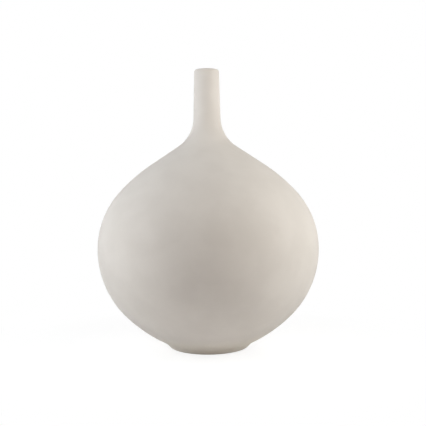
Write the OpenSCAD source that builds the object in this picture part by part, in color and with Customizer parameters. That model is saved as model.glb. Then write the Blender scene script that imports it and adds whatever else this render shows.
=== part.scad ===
// Bottle vase in glazed stoneware: a round belly on a low foot ring, and a slim neck.
// Four clay sections are rebated into each other, bedded in slip and glazed all over
// but for the bare foot. The axis is +Z, the table is z = 0 and sizes are millimetres.

/* [Outline] */
// Height from the table to the top of the lip
height = 245; // [226:1:290]
// Diameter of the belly at its widest
belly_d = 194; // [182:1:214]
// Height of the belly's widest place above the table
belly_z = 88; // [81:1:95]
// Radius of the belly's arc above its widest place
shoulder_arc_r = 74; // [68:1:80]
// Degrees that this arc turns before the flatter arc of the shoulder takes over
shoulder_turn = 42; // [36:0.5:48]
// Radius of the shoulder's flatter arc
slope_arc_r = 150; // [110:5:200]
// Slope, in degrees from upright, at which that arc ends and the shoulder runs straight
slope_turn = 56.5; // [52:0.5:59]
// Radius of the belly's arc below its widest place
belly_arc_r = 82; // [74:1:88]
// Degrees that this arc turns before the flatter arc of the base takes over
belly_turn = 45; // [40:0.5:50]

/* [Neck] */
// Outside diameter that the tapering neck reaches at the rim
neck_d = 21.8; // [20.4:0.2:26]
// Taper of the neck's outside, in degrees from upright
neck_taper = 1.4; // [0:0.1:3]
// Radius of the sweep from the shoulder into the neck
neck_sweep_r = 31; // [22:1:36]
// Diameter of the straight bore through the neck
bore_d = 15; // [11:0.5:16]
// Length of upright collar between the sweep and the neck's seam
collar_h = 6; // [3:0.5:12]

/* [Foot] */
// Diameter of the foot ring at the table
foot_d = 67; // [63:0.5:72]
// Diameter of the foot ring at its top, where the base begins
foot_top_d = 79; // [75:0.2:82]
// Height of the foot ring
foot_h = 6; // [5:0.25:8]
// Width of the foot ring at the table
foot_w = 8; // [7:0.5:11]
// Radius of the foot ring's rounded outer edge
foot_round_r = 6.5; // [2:0.25:7.5]
// Radius of its inner edge
foot_edge_r = 1; // [0.5:0.1:1.5]
// Radius of the hollow between the foot ring and the base
foot_cove_r = 7; // [3:0.25:9]
// Height of bare clay that the glaze leaves above the table
glaze_line = 1; // [0.6:0.1:2]

/* [Walls] */
// Thickness of the clay wall
wall = 4; // [3:0.25:6]
// Thickness of the clay floor
floor_t = 6; // [5:0.5:9]
// Radius of the inside corner between the floor and the wall
floor_corner_r = 14; // [8:1:24]
// Thickness of each coat of glaze
glaze_t = 0.5; // [0.3:0.05:0.6]

/* [Seams] */
// Height of the rebate in the belly's seam
belly_lap_h = 6; // [4:0.5:10]
// Height of the rebate in the neck's seam
neck_lap_h = 5; // [3:0.5:9]
// Width of the tongue on top of the foot ring
tongue_w = 3.5; // [2.5:0.25:5]
// Height of that tongue
tongue_h = 2; // [1:0.25:3]
// Thickness of the bed of slip in every seam
slip_t = 0.5; // [0.3:0.05:0.7]

/* [Hidden] */

// Sides drawn round the axis
$fn = 180;
// How far a chord may fall inside its arc
chord_gap = 0.01;
// Points closer than this are one point
same_point = 0.001;
// How far cutting shapes run past what they cut
past = 5;

bare_clay = [0.74, 0.66, 0.57];
thrown_clay = [0.79, 0.72, 0.64];
dried_slip = [0.69, 0.61, 0.52];
matt_glaze = [0.87, 0.84, 0.80];
lining_glaze = [0.90, 0.88, 0.83];

belly_r = belly_d / 2;
neck_r = neck_d / 2;
bore_r = bore_d / 2;
foot_r = foot_d / 2;
foot_top_r = foot_top_d / 2;
half_slip = slip_t / 2;
// Everything between the outside face and the inside face of the wall
skin = glaze_t + wall + glaze_t;
// Places outside and above the whole vase
far_r = belly_r + past;
far_z = height + past;

// Outward normal at an angle from level, in the plane of radius and height
function normal(angle) = [cos(angle), sin(angle)];

// Crossing of two lines, each given by its normal's angle and its distance from the origin
function crossing(angle_a, dist_a, angle_b, dist_b) =
    [dist_a * sin(angle_b) - dist_b * sin(angle_a),
     dist_b * cos(angle_a) - dist_a * cos(angle_b)] / sin(angle_b - angle_a);

// An arc is [centre, radius, first angle, last angle], by the angles of its outward
// normals. A hollow arc has a negative radius.
function arc_angles(arc) =
    let (step = 2 * acos(1 - chord_gap / max(abs(arc[1]), 2 * chord_gap)),
         steps = max(1, ceil(abs(arc[3] - arc[2]) / step)))
    [for (i = [0:steps]) arc[2] + (arc[3] - arc[2]) * i / steps];

// Points along a chain of arcs, moved outwards by grow, with straight runs between arcs
function chain(arcs, grow) =
    let (all = [for (arc = arcs) for (angle = arc_angles(arc)) arc[0] + (arc[1] + grow) * normal(angle)])
    [for (i = [0:len(all) - 1]) if (i == 0 || norm(all[i] - all[max(i - 1, 0)]) > same_point) all[i]];

// Angle at which an arc round one centre touches an arc round another, their distance apart given
function arc_end(from, to, radius) =
    let (v = (to - from) / radius) atan2(v[1], v[0]);

// Belly: two arcs that meet upright at the widest place
shoulder_c = [belly_r - shoulder_arc_r, belly_z];
belly_c = [belly_r - belly_arc_r, belly_z];

// Shoulder: a flatter arc that leaves the belly smoothly and ends in a straight slope
slope_c = shoulder_c + (shoulder_arc_r - slope_arc_r) * normal(shoulder_turn);
slope_dist = normal(slope_turn) * slope_c + slope_arc_r;

// Base: an arc that leaves the belly's arc smoothly and ends at the top of the foot
base_start = belly_c + belly_arc_r * normal(-belly_turn);
base_chord = [foot_top_r, foot_h] - base_start;
base_fall = base_chord * normal(-belly_turn);
base_bend = abs(base_fall) < same_point ? -same_point : base_fall;
base_r = -(base_chord * base_chord) / (2 * base_bend);
base_c = base_start - base_r * normal(-belly_turn);

// Foot wall, and the cove that rounds the corner between it and the base
foot_lean = atan((foot_top_r - foot_r) / foot_h);
foot_dist = foot_r * cos(foot_lean);
foot_up = [sin(foot_lean), cos(foot_lean)];
cove_off = normal(-foot_lean) * base_c - foot_dist - foot_cove_r;
cove_run = sqrt(pow(base_r + foot_cove_r, 2) - pow(cove_off, 2));
cove_c = base_c - cove_off * normal(-foot_lean) - sign(base_r) * cove_run * foot_up;
cove_end = arc_end(base_c, cove_c, base_r + foot_cove_r);

// Neck: a tapering line, the sweep up to it, and a lip that rounds over into the bore
neck_dist = normal(neck_taper) * [neck_r, height];
sweep_c = crossing(slope_turn, slope_dist + neck_sweep_r, neck_taper, neck_dist + neck_sweep_r);
lip_r = (neck_r - bore_r) * cos(neck_taper) / (1 + cos(neck_taper) - sin(neck_taper));
lip_c = [bore_r + lip_r, height - lip_r];

outside_arcs = [
    [cove_c, -foot_cove_r, -foot_lean, cove_end],
    [base_c, base_r, cove_end, -belly_turn],
    [belly_c, belly_arc_r, -belly_turn, 0],
    [shoulder_c, shoulder_arc_r, 0, shoulder_turn],
    [slope_c, slope_arc_r, shoulder_turn, slope_turn],
    [sweep_c, -neck_sweep_r, slope_turn, neck_taper],
    [lip_c, lip_r, neck_taper, 180]];

// Inside: the same arcs one skin further in, over a flat floor and under a straight bore
bowl_z = foot_h + half_slip;
floor_z = bowl_z + floor_t + glaze_t;
corner_r = base_r - skin - floor_corner_r;
corner_rise = floor_z + floor_corner_r - base_c[1];
corner_c = [base_c[0] + sign(base_r) * sqrt(pow(corner_r, 2) - pow(corner_rise, 2)),
            floor_z + floor_corner_r];
corner_end = arc_end(base_c, corner_c, corner_r);
inner_sweep_r = neck_sweep_r + skin;
inner_sweep_c = crossing(slope_turn, slope_dist - skin + inner_sweep_r, 0, bore_r + inner_sweep_r);

inside_arcs = [
    [corner_c, floor_corner_r, -90, corner_end],
    [base_c, base_r - skin, corner_end, -belly_turn],
    [belly_c, belly_arc_r - skin, -belly_turn, 0],
    [shoulder_c, shoulder_arc_r - skin, 0, shoulder_turn],
    [slope_c, slope_arc_r - skin, shoulder_turn, slope_turn],
    [inner_sweep_c, -inner_sweep_r, slope_turn, 0]];

// Well under the floor: its radius, and the height where its glaze begins
well_r = foot_r - foot_w;
well_line = max(glaze_line, foot_edge_r);

// Seams: where they lie, and the middle of the wall that each rebate steps through
tongue_r = (well_r + foot_top_r - glaze_t) / 2;
groove_w = tongue_w + 2 * slip_t;
belly_seam_z = belly_z - belly_lap_h / 2;
belly_seam_r = belly_r - glaze_t - wall / 2;
neck_seam_z = sweep_c[1] + collar_h;
neck_clay_r = (neck_dist - glaze_t - neck_seam_z * sin(neck_taper)) / cos(neck_taper);
neck_seam_r = (neck_clay_r + bore_r + glaze_t) / 2;

// Rounded edge at the table of a foot wall that lies depth behind the outside face
function foot_edge(depth) =
    let (r = (foot_dist - depth - foot_round_r + foot_round_r * sin(foot_lean)) / cos(foot_lean))
    [[r, foot_round_r], foot_round_r, -90, -foot_lean];

// Filled half section of the vase at a depth behind its outside face
module outside_half(depth)
    polygon(concat([[0, 0]], chain([foot_edge(depth)], 0), chain(outside_arcs, -depth),
                   [[0, lip_c[1]]]));

// Filled half section of the hollow, grown into the wall
module inside_half(grow)
    polygon(concat([[0, floor_z - grow]], chain(inside_arcs, grow),
                   [[bore_r + grow, lip_c[1]], [0, lip_c[1]]]));

// Half section of the well under the floor, inside the foot ring
module well_half()
    polygon(concat([[0, -past], [well_r + foot_edge_r, -past]],
                   chain([[[well_r + foot_edge_r, foot_edge_r], foot_edge_r, 270, 180]], 0),
                   [[well_r, bowl_z], [0, bowl_z]]));

// Half section of all the clay
module clay_half() difference() {
    outside_half(glaze_t);
    inside_half(glaze_t);
    well_half();
}

// What lies below and above the tongue-and-groove seam on top of the foot ring
module below_foot_seam() {
    translate([0, -past]) square([far_r, past + foot_h - half_slip]);
    translate([tongue_r - tongue_w / 2, 0]) square([tongue_w, foot_h + tongue_h - half_slip]);
}

module above_foot_seam() difference() {
    translate([0, bowl_z]) square([far_r, far_z - bowl_z]);
    translate([tongue_r - groove_w / 2, 0]) square([groove_w, bowl_z + tongue_h]);
}

// What lies below and above a rebated seam whose step is at radius r
module below_rebate(r, z, lap) {
    translate([0, -past]) square([far_r, past + z - half_slip]);
    translate([0, -past]) square([r - half_slip, past + z + lap - half_slip]);
}

module above_rebate(r, z, lap) {
    translate([0, z + lap + half_slip]) square([far_r, far_z - z - lap - half_slip]);
    translate([r + half_slip, z + half_slip]) square([far_r - r - half_slip, far_z - z - half_slip]);
}

module below_belly_seam() below_rebate(belly_seam_r, belly_seam_z, belly_lap_h);
module above_belly_seam() above_rebate(belly_seam_r, belly_seam_z, belly_lap_h);
module below_neck_seam() below_rebate(neck_seam_r, neck_seam_z, neck_lap_h);
module above_neck_seam() above_rebate(neck_seam_r, neck_seam_z, neck_lap_h);

// Bare turned ring with a tongue on top
module foot_ring() color(bare_clay) rotate_extrude() intersection() {
    clay_half();
    below_foot_seam();
}

module foot_slip_joint() color(dried_slip) rotate_extrude() difference() {
    clay_half();
    below_foot_seam();
    above_foot_seam();
}

// Floor and lower half of the belly, grooved below and with a tongue round its rim
module lower_bowl() color(thrown_clay) rotate_extrude() intersection() {
    clay_half();
    above_foot_seam();
    below_belly_seam();
}

module belly_slip_joint() color(dried_slip) rotate_extrude() difference() {
    clay_half();
    below_belly_seam();
    above_belly_seam();
}

// Upper half of the belly, closed in to the collar that carries the neck
module upper_bowl() color(thrown_clay) rotate_extrude() intersection() {
    clay_half();
    above_belly_seam();
    below_neck_seam();
}

module neck_slip_joint() color(dried_slip) rotate_extrude() difference() {
    clay_half();
    below_neck_seam();
    above_neck_seam();
}

// Slim tube with the lip
module neck() color(thrown_clay) rotate_extrude() intersection() {
    clay_half();
    above_neck_seam();
}

// Matt coat from the glaze line on the foot up over the lip to the bore
module outer_glaze() color(matt_glaze) rotate_extrude() difference() {
    outside_half(0);
    outside_half(glaze_t);
    translate([0, -past]) square([far_r, past + glaze_line]);
}

// Watertight lining of the belly and the bore
module inner_glaze() color(lining_glaze) rotate_extrude() difference() {
    inside_half(glaze_t);
    inside_half(0);
}

// Coat on the floor's underside and the inner wall of the foot ring
module foot_well_glaze() color(matt_glaze) rotate_extrude() difference() {
    translate([0, well_line]) square([well_r, bowl_z - well_line]);
    square([well_r - glaze_t, bowl_z - glaze_t]);
}

foot_ring();
foot_slip_joint();
lower_bowl();
belly_slip_joint();
upper_bowl();
neck_slip_joint();
neck();
outer_glaze();
inner_glaze();
foot_well_glaze();
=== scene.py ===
"""A bottle vase in matt glazed stoneware: its coats of glaze, its bare foot and a plain studio."""
import math
from collections import namedtuple

import bmesh
import bpy
from mathutils import Matrix, Vector

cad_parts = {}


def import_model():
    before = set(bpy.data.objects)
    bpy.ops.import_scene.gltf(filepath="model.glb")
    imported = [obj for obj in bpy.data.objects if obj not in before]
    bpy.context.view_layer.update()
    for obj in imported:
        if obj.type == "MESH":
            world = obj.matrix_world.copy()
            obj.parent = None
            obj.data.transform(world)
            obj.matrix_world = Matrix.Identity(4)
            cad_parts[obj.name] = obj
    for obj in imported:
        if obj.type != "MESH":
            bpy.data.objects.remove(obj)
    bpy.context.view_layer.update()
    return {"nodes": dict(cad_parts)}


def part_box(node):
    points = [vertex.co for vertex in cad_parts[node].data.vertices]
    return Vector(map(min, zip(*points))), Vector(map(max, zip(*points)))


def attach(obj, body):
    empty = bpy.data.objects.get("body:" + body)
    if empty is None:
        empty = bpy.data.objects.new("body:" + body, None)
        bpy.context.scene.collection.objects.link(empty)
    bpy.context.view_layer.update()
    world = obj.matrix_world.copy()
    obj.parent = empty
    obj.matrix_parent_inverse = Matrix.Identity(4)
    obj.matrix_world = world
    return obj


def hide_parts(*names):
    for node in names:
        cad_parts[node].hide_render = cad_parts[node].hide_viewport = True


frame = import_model()

MM = 0.001


def tenths(metres):
    """A length of the frame in millimetres, to the nearest tenth."""
    return round(metres / MM, 1)


# Sizes that the frame gives, in millimetres
coat_low, coat_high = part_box("outer_glaze")
well_low, well_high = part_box("foot_well_glaze")
HEIGHT = tenths(coat_high.z)
BELLY_R = tenths(coat_high.x)
GLAZE_LINE = tenths(coat_low.z)
WELL_R = tenths(well_high.x)
WELL_LINE = tenths(well_low.z)

# Sizes of the outline, the walls and the seam on the foot, in millimetres and degrees
BELLY_Z = 88.0
SHOULDER_ARC_R = 74.0
SHOULDER_TURN = 42.0
SLOPE_ARC_R = 150.0
SLOPE_TURN = 56.5
BELLY_ARC_R = 82.0
BELLY_TURN = 45.0
NECK_R = 10.9
NECK_TAPER = 1.4
NECK_SWEEP_R = 31.0
BORE_R = 7.5
FOOT_R = 33.5
FOOT_TOP_R = 39.5
FOOT_H = 6.0
FOOT_ROUND_R = 6.5
FOOT_EDGE_R = 1.0
FOOT_COVE_R = 7.0
WALL = 4.0
FLOOR_T = 6.0
FLOOR_CORNER_R = 14.0
GLAZE_T = 0.5
SLIP_T = 0.5
TONGUE_W = 3.5
TONGUE_H = 2.0
SKIN = GLAZE_T + WALL + GLAZE_T

# Finer forms that the glaze and the turning tool leave, in millimetres
BEAD_R = GLAZE_T / 2
WELL_FILLET_R = 1.2
TURNING_MARKS = 4
TURNING_DEPTH = 0.06

# How finely a section is drawn, in millimetres and degrees, and its sides round the axis
STRIDE = 2.5
STRIDE_TURN = 6.0
SAME_POINT = 0.001
SIDES = 192
SHARP_TURN = math.radians(40)


# Objects

def put(name, data):
    """Puts a mesh, a lamp or a camera in the scene as an object."""
    thing = bpy.data.objects.new(name, data)
    bpy.context.scene.collection.objects.link(thing)
    return thing


def put_mesh(name, mesh):
    """Puts a finished bmesh in the scene as an object."""
    data = bpy.data.meshes.new(name)
    mesh.to_mesh(data)
    mesh.free()
    return put(name, data)


# Half sections

# An arc runs from its first angle to its last, and its radius is negative where the section is hollow
Arc = namedtuple("Arc", "centre radius first last")


def normal(angle):
    """Outward direction at an angle in degrees from level, in the plane of radius and height."""
    return Vector((math.cos(math.radians(angle)), math.sin(math.radians(angle))))


def crossing(angle_a, dist_a, angle_b, dist_b):
    """Crossing of two lines, each given by its normal's angle and its distance from the origin."""
    a = normal(angle_a)
    b = normal(angle_b)
    return Vector((dist_a * b.y - dist_b * a.y, dist_b * a.x - dist_a * b.x)) / (a.x * b.y - a.y * b.x)


def heading(start, end):
    """Angle in degrees from one place to another."""
    return math.degrees(math.atan2(end.y - start.y, end.x - start.x))


def reverse(arcs):
    """The same arcs, followed from the last end to the first."""
    return [Arc(arc.centre, arc.radius, arc.last, arc.first) for arc in reversed(arcs)]


def point(r, z):
    """Point of a mesh, in metres, at a radius and a height in millimetres."""
    return Vector((r * MM, 0, z * MM))


class Section:
    """Half section of a turned piece, drawn from point to point and then spun round the axis."""

    def __init__(self, r, z):
        self.mesh = bmesh.new()
        self.first = self.mesh.verts.new(point(r, z))
        self.tip = self.first

    def run(self, r, z):
        """Draws a straight line to a radius and a height."""
        way = point(r, z) - self.tip.co
        steps = max(1, math.ceil(way.length / (STRIDE * MM)))
        for _ in range(steps):
            made = bmesh.ops.extrude_vert_indiv(self.mesh, verts=[self.tip])
            self.tip = made["verts"][0]
            bmesh.ops.translate(self.mesh, verts=[self.tip], vec=way / steps)

    def follow(self, arcs, grow=0.0):
        """Draws a chain of arcs, moved outwards by grow, with straight lines between them."""
        for arc in arcs:
            radius = arc.radius + grow
            start = arc.centre + radius * normal(arc.first)
            if (point(start.x, start.y) - self.tip.co).length > SAME_POINT * MM:
                self.run(start.x, start.y)
            turn = arc.last - arc.first
            length = abs(math.radians(turn) * radius)
            steps = max(math.ceil(length / STRIDE), math.ceil(abs(turn) / STRIDE_TURN))
            made = bmesh.ops.spin(
                self.mesh, geom=[self.tip], cent=point(arc.centre.x, arc.centre.y), axis=(0, -1, 0),
                angle=math.radians(turn), steps=steps)
            self.tip = made["geom_last"][0]

    def close(self):
        """Joins the last point to the first."""
        self.mesh.edges.new((self.tip, self.first))

    def turned(self, name):
        """Spins the section into a closed object."""
        bmesh.ops.spin(
            self.mesh, geom=self.mesh.verts[:] + self.mesh.edges[:], cent=(0, 0, 0), axis=(0, 0, 1),
            angle=math.tau, steps=SIDES, use_merge=True)
        bmesh.ops.remove_doubles(self.mesh, verts=self.mesh.verts, dist=SAME_POINT * MM)
        bmesh.ops.recalc_face_normals(self.mesh, faces=self.mesh.faces)
        for face in self.mesh.faces:
            face.smooth = True
        for edge in self.mesh.edges:
            edge.smooth = edge.calc_face_angle(0) < SHARP_TURN
        return put_mesh(name, self.mesh)


# Belly: two arcs that meet upright at the widest place
shoulder_c = Vector((BELLY_R - SHOULDER_ARC_R, BELLY_Z))
belly_c = Vector((BELLY_R - BELLY_ARC_R, BELLY_Z))

# Shoulder: a flatter arc that leaves the belly smoothly and ends in a straight slope
slope_c = shoulder_c + (SHOULDER_ARC_R - SLOPE_ARC_R) * normal(SHOULDER_TURN)
slope_dist = normal(SLOPE_TURN).dot(slope_c) + SLOPE_ARC_R

# Base: an arc that leaves the belly smoothly and ends at the top of the foot
base_start = belly_c + BELLY_ARC_R * normal(-BELLY_TURN)
base_chord = Vector((FOOT_TOP_R, FOOT_H)) - base_start
base_r = -base_chord.dot(base_chord) / (2 * base_chord.dot(normal(-BELLY_TURN)))
base_c = base_start - base_r * normal(-BELLY_TURN)

# Foot wall, and the cove between it and the base
foot_lean = math.degrees(math.atan((FOOT_TOP_R - FOOT_R) / FOOT_H))
foot_dist = FOOT_R * math.cos(math.radians(foot_lean))
foot_up = normal(90 - foot_lean)
cove_off = normal(-foot_lean).dot(base_c) - foot_dist - FOOT_COVE_R
cove_run = math.sqrt((base_r + FOOT_COVE_R) ** 2 - cove_off ** 2)
cove_c = base_c - cove_off * normal(-foot_lean) - cove_run * foot_up
cove_end = heading(base_c, cove_c)

# Neck: a tapering line, the sweep up to it and a lip that rounds over into the bore
neck_dist = normal(NECK_TAPER).dot(Vector((NECK_R, HEIGHT)))
sweep_c = crossing(SLOPE_TURN, slope_dist + NECK_SWEEP_R, NECK_TAPER, neck_dist + NECK_SWEEP_R)
taper = normal(NECK_TAPER)
lip_r = (NECK_R - BORE_R) * taper.x / (1 + taper.x - taper.y)
lip_c = Vector((BORE_R + lip_r, HEIGHT - lip_r))

# Inside: the same arcs one skin further in, over a flat floor and under a straight bore
bowl_z = FOOT_H + SLIP_T / 2
floor_z = bowl_z + FLOOR_T + GLAZE_T
corner_r = base_r - SKIN - FLOOR_CORNER_R
corner_rise = floor_z + FLOOR_CORNER_R - base_c.y
corner_c = Vector((base_c.x + math.sqrt(corner_r ** 2 - corner_rise ** 2), floor_z + FLOOR_CORNER_R))
corner_end = heading(base_c, corner_c)
inner_sweep_r = NECK_SWEEP_R + SKIN
inner_sweep_c = crossing(SLOPE_TURN, slope_dist - SKIN + inner_sweep_r, 0, BORE_R + inner_sweep_r)

outside = [
    Arc(cove_c, -FOOT_COVE_R, -foot_lean, cove_end),
    Arc(base_c, base_r, cove_end, -BELLY_TURN),
    Arc(belly_c, BELLY_ARC_R, -BELLY_TURN, 0),
    Arc(shoulder_c, SHOULDER_ARC_R, 0, SHOULDER_TURN),
    Arc(slope_c, SLOPE_ARC_R, SHOULDER_TURN, SLOPE_TURN),
    Arc(sweep_c, -NECK_SWEEP_R, SLOPE_TURN, NECK_TAPER),
    Arc(lip_c, lip_r, NECK_TAPER, 180)]

inside = [
    Arc(corner_c, FLOOR_CORNER_R, -90, corner_end),
    Arc(base_c, base_r - SKIN, corner_end, -BELLY_TURN),
    Arc(belly_c, BELLY_ARC_R - SKIN, -BELLY_TURN, 0),
    Arc(shoulder_c, SHOULDER_ARC_R - SKIN, 0, SHOULDER_TURN),
    Arc(slope_c, SLOPE_ARC_R - SKIN, SHOULDER_TURN, SLOPE_TURN),
    Arc(inner_sweep_c, -inner_sweep_r, SLOPE_TURN, 0)]


def foot_wall(depth, z):
    """Radius at a height of the foot's outer wall, at a depth behind its face."""
    lean = math.radians(foot_lean)
    return (foot_dist - depth) / math.cos(lean) + z * math.tan(lean)


def foot_round(depth):
    """Rounded lower edge of the foot's outer wall, at a depth behind its face."""
    lean = math.radians(foot_lean)
    r = foot_wall(depth, 0) - FOOT_ROUND_R * (1 - math.sin(lean)) / math.cos(lean)
    return Arc(Vector((r, FOOT_ROUND_R)), FOOT_ROUND_R, -90, -foot_lean)


# Pieces

def glaze_coat():
    """Coat of glaze from its rounded edge on the foot up over the lip to the bore."""
    clay_round = foot_round(GLAZE_T)
    coat_round = foot_round(0)
    edge_turn = math.degrees(math.asin((GLAZE_LINE + BEAD_R) / FOOT_ROUND_R - 1))
    under = normal(edge_turn)
    # The coat ends on a line from the clay round's centre, in a bead between the clay and its own face
    shift = coat_round.centre.x - clay_round.centre.x
    reach = shift * under.x + math.sqrt(FOOT_ROUND_R ** 2 - (shift * under.y) ** 2)
    start = clay_round.centre + FOOT_ROUND_R * under
    end = clay_round.centre + reach * under
    bead = Arc((start + end) / 2, (end - start).length / 2, edge_turn - 180, edge_turn)
    section = Section(start.x, start.y)
    section.follow([bead, coat_round._replace(first=heading(coat_round.centre, end))])
    section.follow(outside)
    section.follow(reverse(outside), -GLAZE_T)
    section.follow(reverse([clay_round._replace(first=edge_turn)]))
    section.close()
    return section.turned("glaze_coat")


def bore_lining():
    """Lining of the belly and the bore, with a rounded edge under the lip."""
    edge_c = Vector((BORE_R + BEAD_R, lip_c.y - BEAD_R))
    section = Section(0, floor_z)
    section.follow(inside)
    section.follow([Arc(edge_c, BEAD_R, 180, 0)])
    section.follow(reverse(inside), GLAZE_T)
    section.run(0, floor_z - GLAZE_T)
    return section.turned("bore_lining")


def turned_foot():
    """Bare foot ring with the turning tool's marks on its rest face and a tongue on its top."""
    ring_top = FOOT_H - SLIP_T / 2
    tongue_top = ring_top + TONGUE_H
    tongue_r = (WELL_R + FOOT_TOP_R - GLAZE_T) / 2
    inner_edge_c = Vector((WELL_R + FOOT_EDGE_R, FOOT_EDGE_R))
    outer_edge = foot_round(GLAZE_T)
    # Each mark is a shallow arc that rises by its depth over its width
    mark_w = (outer_edge.centre.x - inner_edge_c.x) / TURNING_MARKS
    mark_r = mark_w ** 2 / (8 * TURNING_DEPTH) + TURNING_DEPTH / 2
    mark_half = math.degrees(math.asin(mark_w / 2 / mark_r))
    section = Section(WELL_R, ring_top)
    section.follow([Arc(inner_edge_c, FOOT_EDGE_R, 180, 270)])
    for mark in range(TURNING_MARKS):
        mark_c = Vector((inner_edge_c.x + (mark + 0.5) * mark_w, TURNING_DEPTH - mark_r))
        section.follow([Arc(mark_c, mark_r, 90 + mark_half, 90 - mark_half)])
    section.follow([outer_edge])
    section.run(foot_wall(GLAZE_T, ring_top), ring_top)
    section.run(tongue_r + TONGUE_W / 2, ring_top)
    section.run(tongue_r + TONGUE_W / 2, tongue_top)
    section.run(tongue_r - TONGUE_W / 2, tongue_top)
    section.run(tongue_r - TONGUE_W / 2, ring_top)
    section.close()
    return section.turned("turned_foot")


def foot_well_coat():
    """Glaze on the underside of the floor, filleted into the inner wall of the foot ring."""
    top_z = bowl_z - GLAZE_T
    bead_c = Vector((WELL_R - BEAD_R, WELL_LINE + BEAD_R))
    fillet_c = Vector((WELL_R - GLAZE_T - WELL_FILLET_R, top_z - WELL_FILLET_R))
    section = Section(0, bowl_z)
    section.run(WELL_R, bowl_z)
    section.follow([Arc(bead_c, BEAD_R, 0, -180)])
    section.follow([Arc(fillet_c, WELL_FILLET_R, 0, 90)])
    section.run(0, top_z)
    return section.turned("foot_well_coat")


# Finishes

# Colours, in linear light
GLAZE_PALE = (0.735, 0.684, 0.644)
GLAZE_DEEP = (0.705, 0.654, 0.614)
GLAZE_THIN = (0.655, 0.598, 0.545)
# Paler glaze colour that is painted bounce light from the floor, low on the body
GLAZE_BOUNCE_LIT = (0.840, 0.785, 0.720)
GLAZE_SPECK = (0.520, 0.440, 0.360)
LINING_PALE = (0.780, 0.745, 0.680)
LINING_DEEP = (0.730, 0.690, 0.620)
FOOT_CLAY_PALE = (0.560, 0.490, 0.410)
FOOT_CLAY_DEEP = (0.480, 0.410, 0.330)
THROWN_CLAY_PALE = (0.590, 0.490, 0.380)
THROWN_CLAY_DEEP = (0.500, 0.405, 0.305)
SLIP_PALE = (0.440, 0.335, 0.235)
SLIP_DEEP = (0.370, 0.275, 0.190)
GROG = (0.280, 0.190, 0.120)

# Heights over which painted bounce light from the floor fades out of the glaze, full at the lower one,
# and the heights of its thin lip and edge, in millimetres
BOUNCE_LOW = 8.0
BOUNCE_HIGH = 20.0
LIP_H = 1.4
EDGE_H = 1.5

# Shares of the thin glaze's colour on the lip and on the edge
LIP_THIN = 0.25
EDGE_THIN = 0.6

# How strongly the matt glaze mirrors, where 0.5 is usual
MATT_SHEEN = 0.2

# Values between which most of a grain lies, and a closer pair for clearer clouds
GRAIN_LOW = 0.30
GRAIN_HIGH = 0.70
CLOUD_LOW = 0.35
CLOUD_HIGH = 0.65


class Finish:
    """A material whose nodes read the piece's own coordinates in metres."""

    def __init__(self, name):
        self.material = bpy.data.materials.new(name)
        self.material.use_nodes = True
        self.nodes = self.material.node_tree.nodes
        self.links = self.material.node_tree.links
        self.shader = self.nodes["Principled BSDF"]
        self.coords = self.nodes.new("ShaderNodeTexCoord").outputs["Object"]

    def grain(self, size_mm, detail=3.0):
        """Soft cloudy grain whose blotches are about size_mm across."""
        node = self.nodes.new("ShaderNodeTexNoise")
        node.inputs["Scale"].default_value = 1 / (size_mm * MM)
        node.inputs["Detail"].default_value = detail
        self.links.new(self.coords, node.inputs["Vector"])
        return node.outputs["Fac"]

    def stretch(self, value, low, high, to_low=0.0, to_high=1.0):
        """The value stretched from one range to another and held at its ends."""
        node = self.nodes.new("ShaderNodeMapRange")
        node.interpolation_type = "SMOOTHSTEP"
        node.inputs["From Min"].default_value = low
        node.inputs["From Max"].default_value = high
        node.inputs["To Min"].default_value = to_low
        node.inputs["To Max"].default_value = to_high
        self.links.new(value, node.inputs["Value"])
        return node.outputs["Result"]

    def by_height(self, low, high, at_low, at_high):
        """A share that changes between two heights above the table, in millimetres."""
        node = self.nodes.new("ShaderNodeSeparateXYZ")
        self.links.new(self.coords, node.inputs["Vector"])
        return self.stretch(node.outputs["Z"], low * MM, high * MM, at_low, at_high)

    def mix(self, factor, below, above):
        """One colour that turns into another; each is a constant or a node's colour."""
        node = self.nodes.new("ShaderNodeMix")
        node.data_type = "RGBA"
        self.links.new(factor, node.inputs["Factor"])
        for socket, colour in (("A_Color", below), ("B_Color", above)):
            entry = next(one for one in node.inputs if one.identifier == socket)
            if isinstance(colour, tuple):
                entry.default_value = (*colour, 1.0)
            else:
                self.links.new(colour, entry)
        return next(one for one in node.outputs if one.identifier == "Result_Color")

    def clouds(self, deep, pale, size_mm, detail=3.0):
        """Colour that drifts between a deep and a pale tone."""
        drift = self.stretch(self.grain(size_mm, detail), CLOUD_LOW, CLOUD_HIGH)
        return self.mix(drift, deep, pale)

    def specks(self, body, speck, size_mm, low, high, share):
        """Specks in a body colour, at the grain's peaks; they begin at low and are full at high."""
        peaks = self.stretch(self.grain(size_mm, detail=2.0), low, high, 0.0, share)
        return self.mix(peaks, body, speck)

    def bump(self, value, rise_mm, under=None):
        """Tilts the surface by a value that stands for rise_mm of relief."""
        node = self.nodes.new("ShaderNodeBump")
        node.inputs["Strength"].default_value = 1.0
        node.inputs["Distance"].default_value = rise_mm * MM
        self.links.new(value, node.inputs["Height"])
        if under is not None:
            self.links.new(under, node.inputs["Normal"])
        return node.outputs["Normal"]

    def give(self, socket, value):
        """Links a node's value to a socket of the shader."""
        self.links.new(value, self.shader.inputs[socket])

    def roughen(self, size_mm, least, most):
        """Gives the shader a roughness that varies with a soft grain."""
        self.give("Roughness", self.stretch(self.grain(size_mm), GRAIN_LOW, GRAIN_HIGH, least, most))


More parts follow.
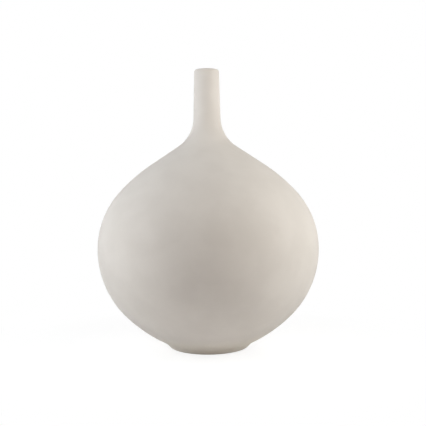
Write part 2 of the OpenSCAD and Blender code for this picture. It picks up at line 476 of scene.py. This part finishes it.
def matt_glaze():
    """Soft white matt glaze: clouded, faintly flecked, thin on the lip, and paler low down where bounce
    light from the floor is painted in.
    """
    finish = Finish("matt_glaze")
    body = finish.clouds(GLAZE_DEEP, GLAZE_PALE, size_mm=26.0, detail=4.0)
    flecked = finish.specks(body, GLAZE_SPECK, size_mm=1.6, low=0.70, high=0.78, share=0.15)
    lip = finish.by_height(HEIGHT - LIP_H, HEIGHT, 0.0, LIP_THIN)
    lipped = finish.mix(lip, flecked, GLAZE_THIN)
    # Painted bounce light: the glaze turns paler towards the foot, as if the floor lit it
    painted_bounce = finish.by_height(BOUNCE_LOW, BOUNCE_HIGH, 1.0, 0.0)
    bounce_lit = finish.mix(painted_bounce, lipped, GLAZE_BOUNCE_LIT)
    edge = finish.by_height(GLAZE_LINE, GLAZE_LINE + EDGE_H, EDGE_THIN, 0.0)
    finish.give("Base Color", finish.mix(edge, bounce_lit, GLAZE_THIN))
    finish.roughen(size_mm=5.0, least=0.68, most=0.76)
    finish.shader.inputs["Specular IOR Level"].default_value = MATT_SHEEN
    swell = finish.bump(finish.grain(size_mm=9.0, detail=1.0), rise_mm=0.06)
    finish.give("Normal", finish.bump(finish.grain(size_mm=0.9, detail=2.0), rise_mm=0.012, under=swell))
    return finish.material


def lining_glaze():
    """Glossy clear-white lining with a soft orange-peel surface."""
    finish = Finish("lining_glaze")
    finish.give("Base Color", finish.clouds(LINING_DEEP, LINING_PALE, size_mm=18.0))
    finish.roughen(size_mm=6.0, least=0.12, most=0.20)
    finish.give("Normal", finish.bump(finish.grain(size_mm=4.0, detail=1.0), rise_mm=0.02))
    return finish.material


def clay(name, deep, pale):
    """Fired clay: sandy grain, dark grog and a dry open surface."""
    finish = Finish(name)
    body = finish.clouds(deep, pale, size_mm=7.0, detail=4.0)
    finish.give("Base Color", finish.specks(body, GROG, size_mm=0.7, low=0.66, high=0.72, share=0.7))
    finish.roughen(size_mm=2.0, least=0.80, most=0.92)
    finish.give("Normal", finish.bump(finish.grain(size_mm=0.5), rise_mm=0.05))
    return finish.material


# Dressing

def dress(piece, material, node):
    """Sets a piece in place of a CAD node, with its finish."""
    piece.data.materials.append(material)
    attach(piece, "root")
    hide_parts(node)


outer = matt_glaze()
foot_clay = clay("bare_foot_clay", FOOT_CLAY_DEEP, FOOT_CLAY_PALE)
thrown_clay = clay("thrown_clay", THROWN_CLAY_DEEP, THROWN_CLAY_PALE)
dried_slip = clay("dried_slip", SLIP_DEEP, SLIP_PALE)

dress(glaze_coat(), outer, "outer_glaze")
dress(bore_lining(), lining_glaze(), "inner_glaze")
dress(turned_foot(), foot_clay, "foot_ring")
dress(foot_well_coat(), outer, "foot_well_glaze")

for name in ("lower_bowl", "upper_bowl", "neck"):
    frame["nodes"][name].material_slots[0].material = thrown_clay
for name in ("foot_slip_joint", "belly_slip_joint", "neck_slip_joint"):
    frame["nodes"][name].material_slots[0].material = dried_slip


# Studio

WHITE = (1.0, 1.0, 1.0)
WHITE_STRENGTH = 1.0

# Floor, in metres: half its side, and the radii between which its shadow fades to plain white
FLOOR_HALF = 4.0
NEAR_R = 0.08
FAR_R = 0.22

# The floor's colour where it lights the vase, and its shade and lift where it is seen
FLOOR_COLOUR = (0.94, 0.94, 0.94)
FLOOR_SHADE = (0.25, 0.25, 0.25)
FLOOR_LIFT = 0.84

# Softboxes, in metres; a spread of 180 degrees is an open one, and a smaller one has a grid in front
Softbox = namedtuple("Softbox", "width height distance spread")
SIDE_BOX = Softbox(width=0.25, height=0.30, distance=0.42, spread=180)
NECK_BOX = Softbox(width=0.15, height=0.20, distance=0.30, spread=40)
FRONT_BOX = Softbox(width=0.30, height=0.30, distance=1.00, spread=180)
BACK_BOX = Softbox(width=0.35, height=0.50, distance=1.20, spread=180)

# Colours of the lamps
COOL = (0.93, 0.98, 1.0)
NEUTRAL = (0.99, 1.0, 0.96)
WARM = (1.0, 0.81, 0.66)

# Lamps, each facing a height on the axis in millimetres; azimuth 0 is the camera's side and + its right
MIDDLE_Z = 123.0
Lamp = namedtuple("Lamp", "name box facing azimuth elevation watts colour")
LAMPS = [
    Lamp("left_softbox", SIDE_BOX, MIDDLE_Z, -75, 8, 0.56, COOL),
    Lamp("right_softbox", SIDE_BOX, MIDDLE_Z, 75, 8, 0.44, NEUTRAL),
    Lamp("left_high_softbox", SIDE_BOX, MIDDLE_Z, -60, 32, 0.73, COOL),
    Lamp("right_high_softbox", SIDE_BOX, MIDDLE_Z, 60, 32, 0.92, NEUTRAL),
    Lamp("left_neck_softbox", NECK_BOX, HEIGHT, -85, 20, 0.016, COOL),
    Lamp("right_neck_softbox", NECK_BOX, HEIGHT, 85, 20, 0.012, NEUTRAL),
    Lamp("front_fill", FRONT_BOX, MIDDLE_Z, 0, 12, 0.95, WARM),
    Lamp("back_softbox", BACK_BOX, MIDDLE_Z, 180, 10, 6.50, WHITE)]

# Camera, from the photograph's 426 pixel frame; places in metres and roll in radians
FRAME_PX = 426
FOCAL_PX = 677
SENSOR_MM = 36.0
EYE = Vector((0, -0.600, 0.140))
AIM = Vector((0.0045, 0, 0.1190))
ROLL = -0.0098


def aimed(place, target, roll=0.0):
    """Matrix of something at a place that looks at a target, rolled about its view."""
    turn = (target - place).to_track_quat("-Z", "Y").to_matrix().to_4x4()
    return Matrix.Translation(place) @ turn @ Matrix.Rotation(roll, 4, "Z")


def white_room(nodes, links, lit, shown):
    """Mixes what lights the room with what the camera, gloss and glass see."""
    path = nodes.new("ShaderNodeLightPath")
    seen = path.outputs["Is Camera Ray"]
    for ray in ("Is Glossy Ray", "Is Transmission Ray"):
        both = nodes.new("ShaderNodeMath")
        both.operation = "MAXIMUM"
        links.new(seen, both.inputs[0])
        links.new(path.outputs[ray], both.inputs[1])
        seen = both.outputs["Value"]
    mix = nodes.new("ShaderNodeMixShader")
    links.new(seen, mix.inputs["Fac"])
    links.new(lit, mix.inputs[1])
    links.new(shown, mix.inputs[2])
    return mix.outputs["Shader"]


def matt(nodes, colour):
    """Plain matt shader of one colour."""
    node = nodes.new("ShaderNodeBsdfDiffuse")
    node.inputs["Color"].default_value = (*colour, 1.0)
    return node.outputs["BSDF"]


def glow(nodes, strength):
    """White shader that shows the same in any light."""
    node = nodes.new("ShaderNodeEmission")
    node.inputs["Strength"].default_value = strength
    return node.outputs["Emission"]


def floor():
    """Pale floor that keeps the shadow near the vase and is plain white further off."""
    mesh = bmesh.new()
    bmesh.ops.create_grid(mesh, x_segments=1, y_segments=1, size=FLOOR_HALF)
    piece = put_mesh("floor", mesh)
    finish = Finish("pale_floor")
    nodes = finish.nodes
    links = finish.links
    nodes.remove(finish.shader)
    near = nodes.new("ShaderNodeAddShader")
    links.new(matt(nodes, FLOOR_SHADE), near.inputs[0])
    links.new(glow(nodes, FLOOR_LIFT), near.inputs[1])
    reach = nodes.new("ShaderNodeVectorMath")
    reach.operation = "LENGTH"
    links.new(finish.coords, reach.inputs[0])
    fade = nodes.new("ShaderNodeMixShader")
    links.new(finish.stretch(reach.outputs["Value"], NEAR_R, FAR_R), fade.inputs["Fac"])
    links.new(near.outputs["Shader"], fade.inputs[1])
    links.new(glow(nodes, WHITE_STRENGTH), fade.inputs[2])
    shader = white_room(nodes, links, matt(nodes, FLOOR_COLOUR), fade.outputs["Shader"])
    links.new(shader, nodes["Material Output"].inputs["Surface"])
    piece.data.materials.append(finish.material)


def world():
    """Surroundings that the camera, gloss and glass see as white, and that light nothing else."""
    room = bpy.data.worlds.new("studio")
    room.use_nodes = True
    bpy.context.scene.world = room
    nodes = room.node_tree.nodes
    links = room.node_tree.links
    dark = nodes["Background"]
    dark.inputs["Strength"].default_value = 0.0
    white = nodes.new("ShaderNodeBackground")
    white.inputs["Color"].default_value = (*WHITE, 1.0)
    white.inputs["Strength"].default_value = WHITE_STRENGTH
    shader = white_room(nodes, links, dark.outputs["Background"], white.outputs["Background"])
    links.new(shader, nodes["World Output"].inputs["Surface"])


def softbox(lamp):
    """Soft lamp that faces a place on the axis and that the camera does not see."""
    turn = math.radians(lamp.azimuth)
    rise = math.radians(lamp.elevation)
    away = Vector((math.sin(turn) * math.cos(rise), -math.cos(turn) * math.cos(rise), math.sin(rise)))
    target = Vector((0, 0, lamp.facing * MM))
    light = bpy.data.lights.new(lamp.name, "AREA")
    light.shape = "RECTANGLE"
    light.size = lamp.box.width
    light.size_y = lamp.box.height
    light.spread = math.radians(lamp.box.spread)
    light.energy = lamp.watts
    light.color = lamp.colour
    holder = put(lamp.name, light)
    holder.matrix_world = aimed(target + lamp.box.distance * away, target)
    holder.visible_camera = False


def camera():
    """Camera at the photograph's place."""
    data = bpy.data.cameras.new("camera")
    data.sensor_width = SENSOR_MM
    data.lens = FOCAL_PX * SENSOR_MM / FRAME_PX
    holder = put("camera", data)
    holder.matrix_world = aimed(EYE, AIM, ROLL)
    bpy.context.scene.camera = holder


floor()
world()
for lamp in LAMPS:
    softbox(lamp)
camera()
bpy.context.scene.view_settings.view_transform = "Standard"
